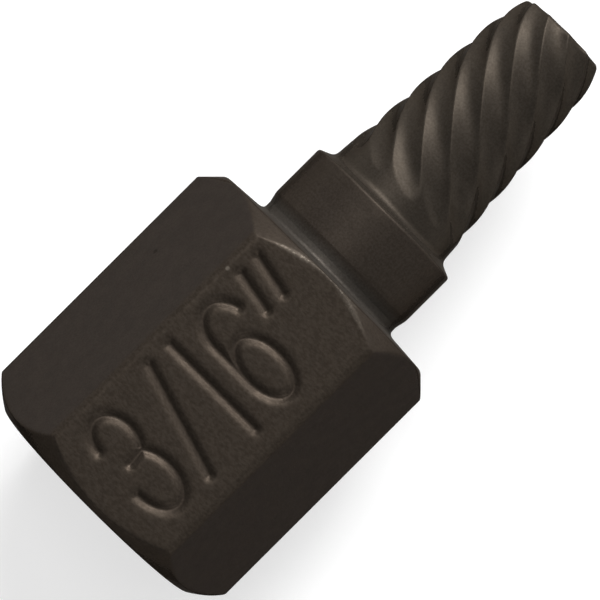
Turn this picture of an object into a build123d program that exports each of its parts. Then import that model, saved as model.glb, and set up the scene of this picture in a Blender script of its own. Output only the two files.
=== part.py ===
from build123d import *

import math
import os

# Screw extractor, one piece of hexagonal tool steel turned in a lathe. The head takes a spanner, and the tapered
# tip with its left-hand flutes goes into a hole drilled in a broken screw.
# The tool lies along X with its tip at +X and a flat of the head facing up, and X is measured from the rear end
# face. Lengths are in millimetres and angles in degrees.

# Hexagonal head
across_flats = 9.525
head_corner_radius = 0.35
head_length = 11.2
rear_face_inset = 0.36
rear_dome_angle = 59.0
rear_dome_radius = 4.5
front_chamfer_angle = 45.0
front_face_inset = 0.03
shoulder_slope = 4.0

# Relief groove behind the shoulder, and the collar
collar_diameter = 6.32
collar_width = 2.06
collar_edge_break = 0.08
groove_depth = 0.09
groove_floor_width = 0.34
groove_exit_width = 0.4
groove_fillet_radius = 0.28

# Step from the collar down to the taper
taper_base_diameter = 5.26
taper_half_angle = 4.2
taper_length = 8.77
step_slope = 24.0
step_fillet_radius = 0.22
plain_length = 0.64

# Left-hand flutes: hollow arcs that meet in sharp ridges and run out towards the collar
flute_count = 11
flute_lead = 15.8
flute_phase = 8.8
flute_depth = 0.18
run_out_length = 1.1
turn_per_section = 5.0

# Lead-in at the tip
tip_diameter = 3.47
tip_lead_in_angle = 17.0
tip_edge_break = 0.12

# Where the lead-in's profile cuts nothing, it stands this far outside the ridges
profile_clearance = 0.2


def rise(run, angle):
    """Height that a line at this angle gains over this run."""
    return run * math.tan(math.radians(angle))


def ridge_radius(x):
    """Radius over the ridges at x, on the straight taper."""
    return taper_base_diameter / 2 - rise(x - collar_front, taper_half_angle)


def ridge_angle(x, index):
    """Angle of a ridge at x, which grows from +Y towards +Z."""
    return flute_phase - 360 * (x - flutes_start) / flute_lead + index * 360 / flute_count


def depth_at(x):
    """Depth of the flutes at x, which eases in along the run-out as the cutter leaves the steel."""
    to_go = max(1 - (x - flutes_start) / run_out_length, 0)
    return flute_depth * (1 - to_go**2)


def around(radius, angle):
    """Point at a radius and an angle about the tool's axis."""
    return radius * math.cos(math.radians(angle)), radius * math.sin(math.radians(angle))


def fluted_section(x):
    """Cross-section of the taper at x, with one arc for each flute, also where they lie on one circle."""
    arcs = []
    for flute in range(flute_count):
        near_ridge, far_ridge = ridge_angle(x, flute), ridge_angle(x, flute + 1)
        arcs.append(
            ThreePointArc(
                around(ridge_radius(x), near_ridge),
                around(ridge_radius(x) - depth_at(x), (near_ridge + far_ridge) / 2),
                around(ridge_radius(x), far_ridge),
            )
        )
    return Plane.YZ.offset(x) * Face(Wire(arcs))


# Places along the tool, and radii, that follow from the sizes above
head_rim_radius = across_flats / 2 - front_face_inset
rear_rim_radius = across_flats / 2 - rear_face_inset
collar_radius = collar_diameter / 2
groove_radius = collar_radius - groove_depth
head_rim = head_length - rise(head_rim_radius - groove_radius, shoulder_slope)
collar_rear = head_length + groove_floor_width + groove_exit_width
collar_front = collar_rear + collar_width
tip = collar_front + taper_length
step_drop = collar_radius - taper_base_diameter / 2
step_foot = collar_front + rise(step_drop, step_slope)
flutes_start = step_foot + plain_length

# The fluted taper, lofted through its cross-sections
section_count = math.ceil(360 * (tip - flutes_start) / flute_lead / turn_per_section)
section_spacing = (tip - flutes_start) / section_count

sections = [fluted_section(flutes_start + step * section_spacing) for step in range(section_count + 1)]

with BuildPart() as taper:
    loft(sections)

    # The tip is turned to a steeper lead-in, and its edge is broken
    lead_in_radius = ridge_radius(flutes_start) + profile_clearance
    lead_in_length = tip_edge_break + (lead_in_radius - tip_diameter / 2) / rise(1, tip_lead_in_angle)
    with BuildSketch(Plane.XZ):
        with BuildLine():
            Polyline(
                (collar_front, 0),
                (collar_front, lead_in_radius),
                (tip - lead_in_length, lead_in_radius),
                (tip - tip_edge_break, tip_diameter / 2),
                (tip, tip_diameter / 2 - tip_edge_break),
                (tip, 0),
                close=True,
            )
        make_face()
    revolve(axis=Axis.X, mode=Mode.INTERSECT)

with BuildPart() as extractor:
    # Hexagonal bar with rounded long edges
    with BuildSketch(Plane.YZ) as bar:
        RegularPolygon(across_flats / 2, 6, major_radius=False)
        fillet(bar.vertices(), head_corner_radius)
    extrude(amount=flutes_start)

    # Everything behind the flutes is turned from the bar. The domed rear chamfer runs on outside the bar's corners,
    # until its slope is level.
    with BuildSketch(Plane.XZ):
        with BuildLine():
            dome_slope = (1, rise(1, rear_dome_angle))
            dome = JernArc((0, rear_rim_radius), dome_slope, rear_dome_radius, -rear_dome_angle)
            dome_top = (dome @ 1).Y
            front_chamfer_length = (dome_top - head_rim_radius) / rise(1, front_chamfer_angle)
            FilletPolyline(
                dome @ 1,
                (head_rim - front_chamfer_length, dome_top),
                (head_rim, head_rim_radius),
                (head_length, groove_radius),
                (head_length + groove_floor_width, groove_radius),
                (collar_rear, collar_radius),
                (collar_front - collar_edge_break, collar_radius),
                (collar_front, collar_radius - collar_edge_break),
                (step_foot, ridge_radius(step_foot)),
                (flutes_start, ridge_radius(flutes_start)),
                (flutes_start, 0),
                (0, 0),
                (0, rear_rim_radius),
                radius=(0, 0, groove_fillet_radius, 0, 0, 0, 0, step_fillet_radius, 0, 0, 0),
            )
        make_face()
    revolve(axis=Axis.X, mode=Mode.INTERSECT)

    add(taper.part)

extractor.part.label = "extractor"

os.makedirs("parts", exist_ok=True)
export_step(extractor.part, "parts/extractor.step")
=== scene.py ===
import math

import bmesh
import bpy
from mathutils import Euler, Matrix, Vector, kdtree


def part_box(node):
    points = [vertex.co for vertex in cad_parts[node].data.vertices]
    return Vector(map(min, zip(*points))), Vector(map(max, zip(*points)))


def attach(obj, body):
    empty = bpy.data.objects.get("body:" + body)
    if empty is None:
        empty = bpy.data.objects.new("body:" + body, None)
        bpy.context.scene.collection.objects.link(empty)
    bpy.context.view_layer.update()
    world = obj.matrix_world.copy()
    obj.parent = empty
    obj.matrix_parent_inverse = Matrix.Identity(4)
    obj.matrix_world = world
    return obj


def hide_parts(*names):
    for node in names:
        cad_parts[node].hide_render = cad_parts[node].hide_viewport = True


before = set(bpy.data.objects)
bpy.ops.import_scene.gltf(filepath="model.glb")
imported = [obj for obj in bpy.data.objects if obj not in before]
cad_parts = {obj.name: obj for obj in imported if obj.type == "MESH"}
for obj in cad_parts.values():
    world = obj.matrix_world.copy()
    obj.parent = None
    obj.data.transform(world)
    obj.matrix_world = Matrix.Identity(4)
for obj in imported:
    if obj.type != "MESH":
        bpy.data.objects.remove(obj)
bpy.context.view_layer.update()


# The bar. The extractor is one piece of hexagonal tool steel with rounded long edges, and all of it is cut
# from that bar, so here it is one closed skin. Lines run along the skin from the middle of the rear end
# face to the middle of the tip, and each one is the tool's outline where it runs.
mm = 0.001
flat_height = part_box("extractor")[1].z
side_count = 6
edge_radius = 0.35 * mm
flute_count = 11

# Each side and each flute holds a whole number of lines
fineness = 4
line_count = side_count * flute_count * fineness
lines_per_side = line_count // side_count
lines_per_edge = 12


def bar_place(line):
    """Angle and reach of the bar's surface where a line runs. The angle grows from +Y towards +Z."""
    side, step = divmod(line, lines_per_side)
    from_middle = step - lines_per_side / 2
    steps_on_flat = (lines_per_side - lines_per_edge) / 2
    share = min(max(from_middle / steps_on_flat, -1), 1)
    edge_turn = math.pi / side_count * (from_middle - share * steps_on_flat) / (lines_per_edge / 2)
    core_height = flat_height - edge_radius
    out = core_height + edge_radius * math.cos(edge_turn)
    across = core_height * math.tan(math.pi / side_count) * share + edge_radius * math.sin(edge_turn)
    side_angle = 2 * math.pi / side_count * (side + 0.5)
    return side_angle + math.atan2(across, out), math.hypot(across, out)


# The turned outline. The head is chamfered at both ends in the lathe, with a domed chamfer at the rear. In
# front of it the lathe cuts the relief groove, the collar and the step down to the taper. Blasting has
# softened each edge.
rounding_steps = 5
largest_rounding_share = 0.45
rear_rim_radius = 4.407 * mm
face_centre_radius = rear_rim_radius / 50
face_cuts = 8
rear_rim_rounding = 0.1 * mm
dome_radius = 4.5 * mm
dome_start_radius = 4.6 * mm
dome_centre_x = 3.861 * mm
dome_centre_radius = 2.096 * mm
dome_cuts = 4
rounding_at_middles = 0.17 * mm
rounding_at_corners = 0.06 * mm
flat_cuts = 40
front_rim_x = 11.084 * mm
front_rim_radius = 4.732 * mm
front_rim_rounding = 0.14 * mm
front_chamfer_cuts = 2
head_length = 11.2 * mm
shoulder_cuts = 4
groove_radius = 3.07 * mm
groove_fillet_reach = 0.26 * mm
groove_floor_end = 11.54 * mm
groove_exit_rounding = 0.02 * mm
groove_exit_cuts = 2
collar_rear = 11.94 * mm
collar_front = 14.0 * mm
collar_radius = 3.16 * mm
collar_rear_rounding = 0.03 * mm
collar_front_rounding = 0.08 * mm
collar_cuts = 8
step_foot = 14.236 * mm
step_fillet_reach = 0.2 * mm
step_cuts = 2
plain_cone_cuts = 5


def dome_x(radius):
    """Where the domed rear chamfer reaches this radius."""
    return dome_centre_x - math.sqrt(dome_radius**2 - (radius - dome_centre_radius) ** 2)


def outline(corners):
    """Points along an outline with softened corners. A corner is its place, how far its rounding reaches
    along the outline, and the number of cuts in the stretch that leads to it."""
    points = [corners[0][0]]
    for (before, _, _), (corner, rounding, cuts), (after, _, _) in zip(corners, corners[1:], corners[2:]):
        near = corner.lerp(before, min(rounding / (before - corner).length, largest_rounding_share))
        far = corner.lerp(after, min(rounding / (after - corner).length, largest_rounding_share))
        points += [points[-1].lerp(near, cut / cuts) for cut in range(1, cuts + 1)]
        if rounding:
            shares = [step / rounding_steps for step in range(1, rounding_steps + 1)]
            points += [near.lerp(corner, share).lerp(corner.lerp(far, share), share) for share in shares]
    last_place, _, last_cuts = corners[-1]
    return points + [points[-1].lerp(last_place, cut / last_cuts) for cut in range(1, last_cuts + 1)]


def turned_outline(reach):
    """The tool's outline behind the flutes, where the bar reaches this far from the axis."""
    front_chamfer_x = front_rim_x - (reach - front_rim_radius)
    corner_reach = (flat_height - edge_radius) / math.cos(math.pi / side_count) + edge_radius
    towards_corner = (reach - flat_height) / (corner_reach - flat_height)
    chamfer_rounding = rounding_at_middles + (rounding_at_corners - rounding_at_middles) * towards_corner
    dome = [dome_start_radius + (reach - dome_start_radius) * cut / dome_cuts for cut in range(dome_cuts)]
    return outline(
        [
            (Vector((0, face_centre_radius)), 0, 1),
            (Vector((0, rear_rim_radius)), rear_rim_rounding, face_cuts),
            *[(Vector((dome_x(radius), radius)), 0, 1) for radius in dome],
            (Vector((dome_x(reach), reach)), chamfer_rounding, 1),
            (Vector((front_chamfer_x, reach)), chamfer_rounding, flat_cuts),
            (Vector((front_rim_x, front_rim_radius)), front_rim_rounding, front_chamfer_cuts),
            (Vector((head_length, groove_radius)), groove_fillet_reach, shoulder_cuts),
            (Vector((groove_floor_end, groove_radius)), groove_exit_rounding, 1),
            (Vector((collar_rear, collar_radius)), collar_rear_rounding, groove_exit_cuts),
            (Vector((collar_front, collar_radius)), collar_front_rounding, collar_cuts),
            (Vector((step_foot, ridge_radius(step_foot))), step_fillet_reach, step_cuts),
            (Vector((flutes_start, ridge_radius(flutes_start))), 0, plain_cone_cuts),
        ]
    )


# The fluted taper. Eleven hollow flutes are cut into the turned cone. They wind to the left and meet in
# narrow ridges that blasting has softened, and towards the collar each flute rises and narrows to a round
# end where its cutter left the steel.
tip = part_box("extractor")[1].x
ridge_radius_at_collar = 2.63 * mm
taper_half_angle = math.radians(4.2)
flutes_start = 14.876 * mm
flute_lead = 15.8 * mm
flute_phase = math.radians(8.8)
flute_depth = 0.18 * mm
run_out_length = 1.1 * mm
ridge_softness = 0.055 * mm
lead_in_length = 1.7 * mm
lead_in_drop = 0.25 * mm
tip_rounding = 0.13 * mm
tip_rounding_steps = 6
taper_rings = 100


def ridge_radius(x):
    """Radius over the ridges, with the gentle lead-in at the tip."""
    past_lead_in = max(x - (tip - lead_in_length), 0) / lead_in_length
    narrowing = (x - collar_front) * math.tan(taper_half_angle)
    return ridge_radius_at_collar - narrowing - lead_in_drop * past_lead_in**2


def ridge_angle(x):
    """Angle of the first ridge, which winds to the left."""
    return flute_phase - 2 * math.pi * (x - flutes_start) / flute_lead


def fluted_radius(x, share):
    """Radius at a share of the way from one ridge to the next, across the flute between them. Where the
    flute would rise past the cone, the cone stays."""
    to_go = max(1 - (x - flutes_start) / run_out_length, 0)
    from_middle = 2 * share - 1
    cut = flute_depth * (1 - to_go**2 - from_middle**2)
    softness = ridge_softness * (1 - to_go**2)
    return ridge_radius(x) - (cut + math.hypot(cut, softness)) / 2


# The skin. Each ring of points across the lines is extruded from the one before it, and both ends close in
# a point. On the front shoulder the lines spread evenly round the axis, and from the step on they follow
# the ridges. Each point also keeps whether the lathe has cut there.
line_spacing = 2 * math.pi / line_count
lines_per_flute = line_count // flute_count
first_ridge_line = round(ridge_angle(flutes_start) / line_spacing)
tip_face_shares = [0.8, 0.55, 0.3, 0.1]
turned_margin = 0.02 * mm


def place(x, radius, angle):
    """Point of the tool in the row frame."""
    return Vector((x, radius * math.cos(angle), radius * math.sin(angle)))


def line_points(line):
    """All points of one line, from the rear end face to the tip."""
    bar_angle, reach = bar_place(line)
    even_angle = line * line_spacing
    winding_start = ridge_angle(flutes_start) - first_ridge_line * line_spacing
    points = []
    for x, radius in turned_outline(reach):
        past_shoulder = min(max((x - front_rim_x) / (head_length - front_rim_x), 0), 1)
        past_collar = max((x - collar_front) / (flutes_start - collar_front), 0)
        angle = bar_angle + (even_angle - bar_angle) * past_shoulder + winding_start * past_collar
        points.append(place(x, radius, angle))
    share = (line - first_ridge_line) % lines_per_flute / lines_per_flute
    rounding_start = tip - tip_rounding
    for ring in range(1, taper_rings + 1):
        x = flutes_start + (rounding_start - flutes_start) * ring / taper_rings
        angle = ridge_angle(x) + (line - first_ridge_line) * line_spacing
        points.append(place(x, fluted_radius(x, share), angle))
    for step in range(1, tip_rounding_steps + 1):
        turn = math.pi / 2 * step / tip_rounding_steps
        x = rounding_start + tip_rounding * math.sin(turn)
        angle = ridge_angle(x) + (line - first_ridge_line) * line_spacing
        tip_radius = fluted_radius(x, share) - tip_rounding * (1 - math.cos(turn))
        points.append(place(x, tip_radius, angle))
    return points + [place(tip, tip_radius * face_share, angle) for face_share in tip_face_shares]


skin = bmesh.new()
line_of = skin.verts.layers.int.new("line")
ring = bmesh.ops.create_circle(skin, segments=line_count, radius=flat_height)["verts"]
for line, vert in enumerate(ring):
    vert[line_of] = line
lines = [line_points(line) for line in range(line_count)]
ring_edges = list(skin.edges)
first_ring = ring
for station in range(len(lines[0])):
    if station:
        grown = bmesh.ops.extrude_edge_only(skin, edges=ring_edges)["geom"]
        ring = [part for part in grown if isinstance(part, bmesh.types.BMVert)]
        ring_edges = [part for part in grown if isinstance(part, bmesh.types.BMEdge)]
    for vert in ring:
        vert.co = lines[vert[line_of]][station]
bmesh.ops.pointmerge(skin, verts=first_ring, merge_co=Vector((0, 0, 0)))
bmesh.ops.pointmerge(skin, verts=ring, merge_co=Vector((tip, 0, 0)))
bmesh.ops.recalc_face_normals(skin, faces=skin.faces)

turned_share = skin.verts.layers.float.new("turned")
for vert in skin.verts:
    below_bar = bar_place(vert[line_of])[1] - math.hypot(vert.co.y, vert.co.z)
    vert[turned_share] = min(max(below_bar / turned_margin, 0), 1)


# The size mark, 3/16 of an inch, names the drill that the tool is used with. It is pressed into the upper
# flat with a rounded stamp, so each stroke is a groove with soft shoulders, and the skin is finer there.
stroke_depth = 0.15 * mm
stroke_spread = 0.12 * mm
stroke_spacing = 0.01 * mm
refined_reaches = [0.55 * mm, 0.42 * mm, 0.34 * mm]
flat_tolerance = 0.001 * mm
wear_starts = 0.5 / mm
wear_is_full = 1.6 / mm

# Places on the flat are X and Y, sizes of bowls are half widths and heights, and their ends are degrees
mark_top = 2.14 * mm
mark_bottom = -1.85 * mm
three_upper_bowl = (2.233 * mm, 1.163 * mm)
three_upper_size = (0.674 * mm, 0.95 * mm)
three_upper_ends = (173, -50)
three_lower_bowl = (2.2 * mm, -0.651 * mm)
three_lower_size = (0.744 * mm, 1.2 * mm)
three_lower_ends = (55, -180)
three_bar_start = (2.02 * mm, 0.27 * mm)
three_bar_end = (2.63 * mm, 0.33 * mm)
slash_top_x = 4.803 * mm
slash_bottom_x = 3.621 * mm
one_x = 5.772 * mm
six_arch = (7.512 * mm, 0.993 * mm)
six_arch_size = (0.777 * mm, 1.147 * mm)
six_arch_ends = (22, 180)
six_bowl = (7.429 * mm, -0.615 * mm)
six_bowl_size = (0.694 * mm, 1.235 * mm)
inch_mark_tops_x = [9.099 * mm, 9.892 * mm]
inch_mark_bottoms_x = [8.833 * mm, 9.603 * mm]
inch_mark_bottom = 0.68 * mm


def bowl(centre, size, start, end):
    """Points along part of an ellipse on the flat, from one angle to another in degrees."""
    count = math.ceil(math.radians(abs(end - start)) * max(size) / stroke_spacing)
    turns = [math.radians(start + (end - start) * step / count) for step in range(count + 1)]
    return [(centre[0] + size[0] * math.cos(turn), centre[1] + size[1] * math.sin(turn)) for turn in turns]


def straight(start, end):
    """Points along a straight stroke on the flat."""
    start, end = Vector(start), Vector(end)
    count = math.ceil((end - start).length / stroke_spacing)
    return [start.lerp(end, step / count).to_tuple() for step in range(count + 1)]


three = [
    *bowl(three_upper_bowl, three_upper_size, *three_upper_ends),
    *straight(three_bar_start, three_bar_end),
    *bowl(three_lower_bowl, three_lower_size, *three_lower_ends),
]
slash = straight((slash_top_x, mark_top), (slash_bottom_x, mark_bottom))
one = straight((one_x, mark_top), (one_x, mark_bottom))
six_left = six_arch[0] - six_arch_size[0]
six = [
    *bowl(six_arch, six_arch_size, *six_arch_ends),
    *straight((six_left, six_arch[1]), (six_left, six_bowl[1])),
    *bowl(six_bowl, six_bowl_size, 0, 360),
]
stroke_points = [*three, *slash, *one, *six]
for top_x, bottom_x in zip(inch_mark_tops_x, inch_mark_bottoms_x):
    stroke_points += straight((top_x, mark_top), (bottom_x, inch_mark_bottom))
strokes = kdtree.KDTree(len(stroke_points))
for index, (x, y) in enumerate(stroke_points):
    strokes.insert((x, y, flat_height), index)
strokes.balance()


def on_marked_flat(face):
    """Whether a face lies on the flat that holds the mark."""
    return all(abs(vert.co.z - flat_height) < flat_tolerance for vert in face.verts)


for reach in refined_reaches:
    near_mark = [
        face
        for face in skin.faces
        if on_marked_flat(face) and strokes.find(face.calc_center_median())[2] < reach
    ]
    mark_edges = dict.fromkeys(edge for face in near_mark for edge in face.edges)
    bmesh.ops.subdivide_edges(skin, edges=list(mark_edges), cuts=1, use_grid_fill=True)
pressed_share = skin.verts.layers.float.new("pressed")
for vert in skin.verts:
    if vert.co.z > flat_height - flat_tolerance:
        distance = strokes.find(vert.co)[2]
        vert[pressed_share] = math.exp(-0.5 * (distance / stroke_spread) ** 2)
        vert.co.z -= stroke_depth * vert[pressed_share]
skin.normal_update()

# The more sharply the skin bends outwards at a point, the more its oxide is worn. Only the front rim of
# the marked flat uses this, where it also places a painted highlight.
worn_share = skin.verts.layers.float.new("worn")
for vert in skin.verts:
    bend = sum(edge.calc_length() * edge.calc_face_angle_signed() for edge in vert.link_edges)
    curvature = bend / sum(face.calc_area() for face in vert.link_faces)
    vert[worn_share] = min(max((curvature - wear_starts) / (wear_is_full - wear_starts), 0), 1)
for face in skin.faces:
    face.smooth = True
skin_mesh = bpy.data.meshes.new("extractor_body")
skin.to_mesh(skin_mesh)
skin.free()
extractor_body = bpy.data.objects.new("extractor_body", skin_mesh)
bpy.context.scene.collection.objects.link(extractor_body)
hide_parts("extractor")
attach(extractor_body, "root")


# The finish. The steel is blasted and then blackened in hot salts, which leaves a thin matte skin of warm
# brown-grey oxide. The marked flat has a cross grain and smoother strokes, and turned places keep faint tool
# marks. Along the front edge of the marked flat, which faces the lights, paler specks of rubbed steel are
# partly wear and partly a painted highlight, and the relief groove's lighter oxide is a painted highlight.
oxide_on_bar = (0.0408, 0.0341, 0.0294, 1)
oxide_on_mark = (0.0398, 0.0317, 0.0248, 1)
oxide_in_strokes = (0.0475, 0.0376, 0.0298, 1)
oxide_on_turned = (0.0376, 0.0304, 0.0245, 1)
# The groove's lighter oxide is a painted highlight where the groove faces the lights
groove_oxide_with_painted_highlight = (0.052, 0.046, 0.0398, 1)
oxide_on_taper = (0.0395, 0.033, 0.0266, 1)
# Pale steel: real wear at the nick, and on the front rim partly wear and partly a painted highlight
rubbed_steel_and_painted_highlight = (0.125, 0.109, 0.09, 1)
dark_stain = (0, 0, 0, 1)
grazing_tint = (0.3, 0.3, 0.3, 1)

# Thickness and grain multiply the oxide's colour by these
thin_oxide = (1.03, 1.025, 1.02, 1)
thick_oxide = (0.97, 0.972, 0.975, 1)
dark_grain = (0.81, 0.8, 0.79, 1)
light_grain = (1.19, 1.2, 1.21, 1)

# Gloss and relief, and how strongly the grains show
metallic_on_bar = 0.48
metallic_on_taper = 0.52
least_roughness = 0.46
most_roughness = 0.56
roughness_lost_in_strokes = 0.12
roughness_lost_by_rubbing = 0.2
relief_height = 0.0055 * mm
taper_relief_share = 0.3
bar_grain_share = 0.55
tool_mark_share = 0.22

# Sizes and stretches of the grains, and the part of each noise over which its effect grows
blast_grain_size = 0.075 * mm
cross_grain_size = 0.08 * mm
across_stretch = 0.55
tool_mark_size = 0.09 * mm
tool_mark_drift = 0.03
grain_range = (0.25, 0.75)
blotch_size = 0.6 * mm
blotch_range = (0.3, 0.7)
speck_size = 0.09 * mm
speck_range = (0.5, 0.68)

# Where the finishes meet, the worn and stained spots, and the front rim's wear and painted highlight
mark_fade_start = 0.3 * mm
mark_fade_end = 0.06 * mm
collar_seam_start = 0.06 * mm
seam_width = 0.04 * mm
rim_wear_and_highlight_reach = 0.6 * mm
least_rubbed_and_highlit = 0.2
most_rubbed_and_highlit = 0.6
nick_place = (8.91 * mm, 2.59 * mm, 4.76 * mm)
nick_reach = 0.1 * mm
nick_strength = 0.6
stain_place = (7.55 * mm, 4.66 * mm, 1.455 * mm)
stain_reach = 0.13 * mm
stain_strength = 0.35
whole_spot_share = 0.4

steel = bpy.data.materials.new("blackened_steel")
steel.use_nodes = True
steel_nodes = steel.node_tree.nodes
steel_links = steel.node_tree.links
steel_shader = steel_nodes["Principled BSDF"]
steel_shader.inputs["Specular IOR Level"].default_value = 0.0
steel_shader.inputs["Specular Tint"].default_value = grazing_tint
steel_place = steel_nodes.new("ShaderNodeTexCoord").outputs["Object"]


def fill(socket, value):
    """Links an output to an input, or sets the input to a number or colour."""
    if isinstance(value, bpy.types.NodeSocket):
        steel_links.new(value, socket)
    else:
        socket.default_value = value


def noise(position, size, detail):
    """Noise from 0 to 1 with features of about this size."""
    node = steel_nodes.new("ShaderNodeTexNoise")
    fill(node.inputs["Vector"], position)
    node.inputs["Scale"].default_value = 1 / size
    node.inputs["Detail"].default_value = detail
    return node.outputs["Fac"]


def calc(operation, first, second):
    """Math on two outputs or numbers."""
    node = steel_nodes.new("ShaderNodeMath")
    node.operation = operation
    fill(node.inputs[0], first)
    fill(node.inputs[1], second)
    return node.outputs[0]


def ramp(value, start, end, at_start=0.0, at_end=1.0):
    """A smooth change from one number to another as a value goes from start to end."""
    node = steel_nodes.new("ShaderNodeMapRange")
    node.interpolation_type = "SMOOTHSTEP"
    fill(node.inputs["Value"], value)
    node.inputs["From Min"].default_value = start
    node.inputs["From Max"].default_value = end
    node.inputs["To Min"].default_value = at_start
    node.inputs["To Max"].default_value = at_end
    return node.outputs["Result"]


def blend(share, first, second, kind="RGBA", blend_type="MIX"):
    """A mix of two colours, or of two numbers where the kind is FLOAT. The node has its own sockets for each
    kind."""
    node = steel_nodes.new("ShaderNodeMix")
    node.data_type = kind
    node.blend_type = blend_type
    first_input, second_input, output = {"RGBA": (6, 7, 2), "FLOAT": (2, 3, 0)}[kind]
    fill(node.inputs[0], share)
    fill(node.inputs[first_input], first)
    fill(node.inputs[second_input], second)
    return node.outputs[output]


def vertex_mask(name):
    """A mask that the skin's points carry."""
    node = steel_nodes.new("ShaderNodeAttribute")
    node.attribute_name = name
    return node.outputs["Fac"]


def spot_mask(spot, reach):
    """A mask that is whole round one spot and fades out at its reach."""
    node = steel_nodes.new("ShaderNodeVectorMath")
    node.operation = "DISTANCE"
    fill(node.inputs[0], steel_place)
    fill(node.inputs[1], spot)
    return ramp(node.outputs["Value"], whole_spot_share * reach, reach, 1.0, 0.0)


# Where each kind of surface lies
split_place = steel_nodes.new("ShaderNodeSeparateXYZ")
fill(split_place.inputs[0], steel_place)
place_x, place_y, place_z = split_place.outputs
marked = ramp(place_z, flat_height - mark_fade_start, flat_height - mark_fade_end)
fluted = ramp(place_x, collar_front - collar_seam_start, collar_front + seam_width)
before_collar = ramp(place_x, groove_floor_end, collar_rear, 1.0, 0.0)
# The relief groove, where a painted highlight lightens the oxide
highlit_groove = calc("MULTIPLY", ramp(place_x, front_rim_x, front_rim_x + seam_width), before_collar)
turned = vertex_mask("turned")
pressed = vertex_mask("pressed")
worn = vertex_mask("worn")
lit_front_edge = ramp(place_x, front_rim_x - rim_wear_and_highlight_reach, front_rim_x - rim_wear_and_highlight_reach / 2)
nick = calc("MULTIPLY", spot_mask(nick_place, nick_reach), nick_strength)
stain = calc("MULTIPLY", spot_mask(stain_place, stain_reach), stain_strength)

# Grains: even from blasting, drawn out across the marked flat, and in rings round the axis where the lathe
# has cut, where the noise hardly changes along Y and so drifts a little within a ring
across_place = steel_nodes.new("ShaderNodeMapping")
across_place.inputs["Scale"].default_value = (1, across_stretch, 1)
fill(across_place.inputs["Vector"], steel_place)
from_axis = steel_nodes.new("ShaderNodeVectorMath")
from_axis.operation = "LENGTH"
across_axis = steel_nodes.new("ShaderNodeCombineXYZ")
fill(across_axis.inputs["Y"], place_y)
fill(across_axis.inputs["Z"], place_z)
fill(from_axis.inputs[0], across_axis.outputs[0])
round_place = steel_nodes.new("ShaderNodeCombineXYZ")
fill(round_place.inputs["X"], place_x)
fill(round_place.inputs["Y"], from_axis.outputs["Value"])
fill(round_place.inputs["Z"], calc("MULTIPLY", place_y, tool_mark_drift))
blast_grain = noise(steel_place, blast_grain_size, detail=2.0)
cross_grain = noise(across_place.outputs[0], cross_grain_size, detail=2.0)
tool_marks = noise(round_place.outputs[0], tool_mark_size, detail=1.0)
blotches = noise(steel_place, blotch_size, detail=3.0)
specks = ramp(noise(steel_place, speck_size, detail=3.0), *speck_range)
grain = blend(marked, blast_grain, cross_grain, "FLOAT")
grain = blend(calc("MULTIPLY", turned, tool_mark_share), grain, tool_marks, "FLOAT")
grain_strength = blend(calc("MAXIMUM", marked, turned), bar_grain_share, 1.0, "FLOAT")

# Colour: the oxide of each place with the groove's painted highlight, its thickness, its grain and the
# stain, and then the specks of rubbed steel and painted highlight on the front rim, and the nick
oxide = blend(marked, oxide_on_bar, oxide_on_mark)
oxide = blend(pressed, oxide, oxide_in_strokes)
oxide = blend(turned, oxide, oxide_on_turned)
# Painted highlight: lighter oxide over the relief groove
oxide = blend(highlit_groove, oxide, groove_oxide_with_painted_highlight)
oxide = blend(fluted, oxide, oxide_on_taper)
thickness = blend(ramp(blotches, *blotch_range), thin_oxide, thick_oxide)
oxide = blend(1.0, oxide, thickness, blend_type="MULTIPLY")
grain_colour = blend(ramp(grain, *grain_range), dark_grain, light_grain)
oxide = blend(grain_strength, oxide, grain_colour, blend_type="MULTIPLY")
oxide = blend(stain, oxide, dark_stain)
# The front rim, which faces the lights, gets specks of pale steel: partly wear, partly a painted highlight
worn_and_highlit_edge = calc("MULTIPLY", worn, calc("MULTIPLY", marked, lit_front_edge))
rubbed_and_highlit_edge = calc("MULTIPLY", worn_and_highlit_edge, ramp(specks, 0.0, 1.0, least_rubbed_and_highlit, most_rubbed_and_highlit))
rubbed_and_highlit = calc("MAXIMUM", rubbed_and_highlit_edge, nick)
fill(steel_shader.inputs["Base Color"], blend(rubbed_and_highlit, oxide, rubbed_steel_and_painted_highlight))
fill(steel_shader.inputs["Metallic"], blend(fluted, metallic_on_bar, metallic_on_taper, "FLOAT"))

# Gloss and relief
roughness = ramp(blotches, *blotch_range, least_roughness, most_roughness)
roughness = blend(fluted, roughness, least_roughness, "FLOAT")
roughness = calc("SUBTRACT", roughness, calc("MULTIPLY", pressed, roughness_lost_in_strokes))
roughness = calc("SUBTRACT", roughness, calc("MULTIPLY", rubbed_and_highlit, roughness_lost_by_rubbing))
fill(steel_shader.inputs["Roughness"], roughness)
relief_strength = blend(fluted, grain_strength, taper_relief_share, "FLOAT")
relief = steel_nodes.new("ShaderNodeBump")
relief.inputs["Distance"].default_value = relief_height
fill(relief.inputs["Strength"], 1.0)
fill(relief.inputs["Height"], calc("MULTIPLY", grain, relief_strength))
fill(steel_shader.inputs["Normal"], relief.outputs["Normal"])
extractor_body.data.materials.append(steel)


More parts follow.
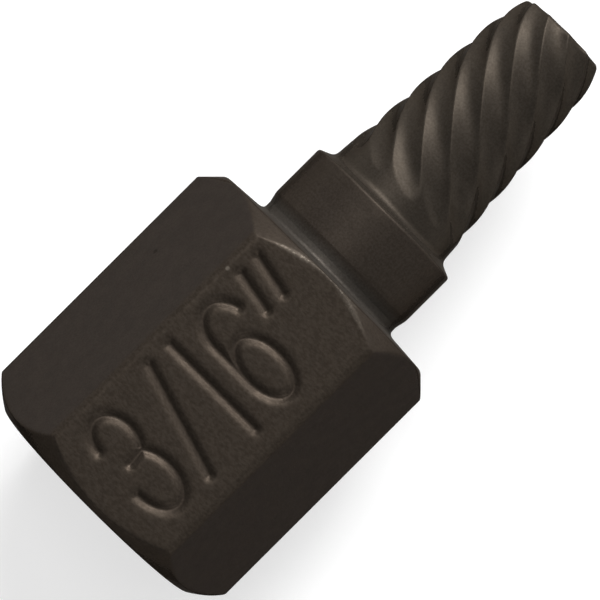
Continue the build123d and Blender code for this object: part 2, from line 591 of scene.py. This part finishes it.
# The studio: a white sweep, a round table that curves up into a low wall all round and keeps the tool's
# soft shadow. In a dark room, one soft light stands above and to the left of the tip, a second one rakes
# along the tool, and two weak ones fill in from overhead and behind.
table_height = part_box("extractor")[0].z
sweep_radius = 450 * mm
sweep_curve = 60 * mm
sweep_wall_top = 160 * mm
sweep_curve_steps = 8
sweep_sides = 64
merge_distance = 0.001 * mm
sweep_mesh = bmesh.new()
curve_centre = Vector((sweep_radius - sweep_curve, 0, table_height + sweep_curve))
sweep_profile = [Vector((0, 0, table_height))]
for step in range(sweep_curve_steps + 1):
    turn = math.pi / 2 * step / sweep_curve_steps
    sweep_profile.append(curve_centre + sweep_curve * Vector((math.sin(turn), 0, -math.cos(turn))))
sweep_profile.append(Vector((sweep_radius, 0, table_height + sweep_wall_top)))
profile_verts = [sweep_mesh.verts.new(point) for point in sweep_profile]
profile_edges = [sweep_mesh.edges.new(pair) for pair in zip(profile_verts, profile_verts[1:])]
bmesh.ops.spin(
    sweep_mesh,
    geom=profile_verts + profile_edges,
    cent=(0, 0, 0),
    axis=(0, 0, 1),
    angle=2 * math.pi,
    steps=sweep_sides,
    use_merge=True,
)
bmesh.ops.remove_doubles(sweep_mesh, verts=sweep_mesh.verts, dist=merge_distance)
bmesh.ops.recalc_face_normals(sweep_mesh, faces=sweep_mesh.faces)
for face in sweep_mesh.faces:
    face.smooth = True
sweep_data = bpy.data.meshes.new("sweep")
sweep_mesh.to_mesh(sweep_data)
sweep_mesh.free()
sweep = bpy.data.objects.new("sweep", sweep_data)
bpy.context.scene.collection.objects.link(sweep)

paper_colour = (0.5, 0.5, 0.5, 1)
paper_glow = (0.6, 0.6, 0.6, 1)
paper_roughness = 0.9
white_paper = bpy.data.materials.new("white_paper")
white_paper.use_nodes = True
paper_nodes = white_paper.node_tree.nodes
paper_links = white_paper.node_tree.links
paper_shader = paper_nodes["Principled BSDF"]
paper_shader.inputs["Base Color"].default_value = paper_colour
paper_shader.inputs["Roughness"].default_value = paper_roughness
paper_shader.inputs["Specular IOR Level"].default_value = 0.0
paper_shader.inputs["Emission Color"].default_value = paper_glow

# The paper glows for the camera, in reflections and through glass, and adds no light to matte surfaces
light_path = paper_nodes.new("ShaderNodeLightPath")
camera_or_glossy = paper_nodes.new("ShaderNodeMath")
camera_or_glossy.operation = "MAXIMUM"
paper_links.new(light_path.outputs["Is Camera Ray"], camera_or_glossy.inputs[0])
paper_links.new(light_path.outputs["Is Glossy Ray"], camera_or_glossy.inputs[1])
white_rays = paper_nodes.new("ShaderNodeMath")
white_rays.operation = "MAXIMUM"
paper_links.new(camera_or_glossy.outputs[0], white_rays.inputs[0])
paper_links.new(light_path.outputs["Is Transmission Ray"], white_rays.inputs[1])
paper_links.new(white_rays.outputs[0], paper_shader.inputs["Emission Strength"])
sweep_data.materials.append(white_paper)

room_colour = (0.01, 0.01, 0.01, 1)
room = bpy.data.worlds.new("room")
room.use_nodes = True
room.node_tree.nodes["Background"].inputs["Color"].default_value = room_colour
bpy.context.scene.world = room

# Each light's name, azimuth and elevation in degrees as seen from the tool, and power in watts
light_distance = 300 * mm
light_size = 150 * mm
lights = [
    ("main_light", 28, 38, 0.97),
    ("raking_light", 5, 22, 0.66),
    ("overhead_light", 75, 72, 0.22),
    ("rear_light", 240, 30, 0.2),
]
for name, azimuth, elevation, power in lights:
    lamp = bpy.data.lights.new(name, "AREA")
    lamp.size = light_size
    lamp.energy = power
    towards_light = Vector((1, 0, 0))
    towards_light.rotate(Euler((0, -math.radians(elevation), math.radians(azimuth))))
    light = bpy.data.objects.new(name, lamp)
    light.location = Vector((tip / 2, 0, 0)) + towards_light * light_distance
    light.rotation_mode = "QUATERNION"
    light.rotation_quaternion = towards_light.to_track_quat("Z", "Y")
    bpy.context.scene.collection.objects.link(light)


# The camera looks almost straight down on the marked flat, from slightly towards +Y, and is turned so that
# the tool lies across the frame from the lower left to the upper right.
camera_distance = 127.6 * mm
camera_lean = math.radians(2.5)
camera_turn = math.radians(44.92)
camera_lens = 222.0
camera_film_width = 36.0
camera_clip_start = 10 * mm
aim = Vector((9.869 * mm, -0.062 * mm, 0))
backwards = Vector((0, math.sin(camera_lean), math.cos(camera_lean)))
along_tool = Vector((1, 0, 0))
across_tool = backwards.cross(along_tool)
camera_right = math.cos(camera_turn) * along_tool - math.sin(camera_turn) * across_tool
camera_up = math.sin(camera_turn) * along_tool + math.cos(camera_turn) * across_tool
camera_data = bpy.data.cameras.new("camera")
camera_data.lens = camera_lens
camera_data.sensor_width = camera_film_width
camera_data.clip_start = camera_clip_start
camera = bpy.data.objects.new("camera", camera_data)
camera.matrix_world = Matrix.Translation(aim + backwards * camera_distance) @ Matrix(
    (camera_right, camera_up, backwards)
).transposed().to_4x4()
bpy.context.scene.collection.objects.link(camera)
bpy.context.scene.camera = camera
bpy.context.scene.view_settings.view_transform = "Standard"
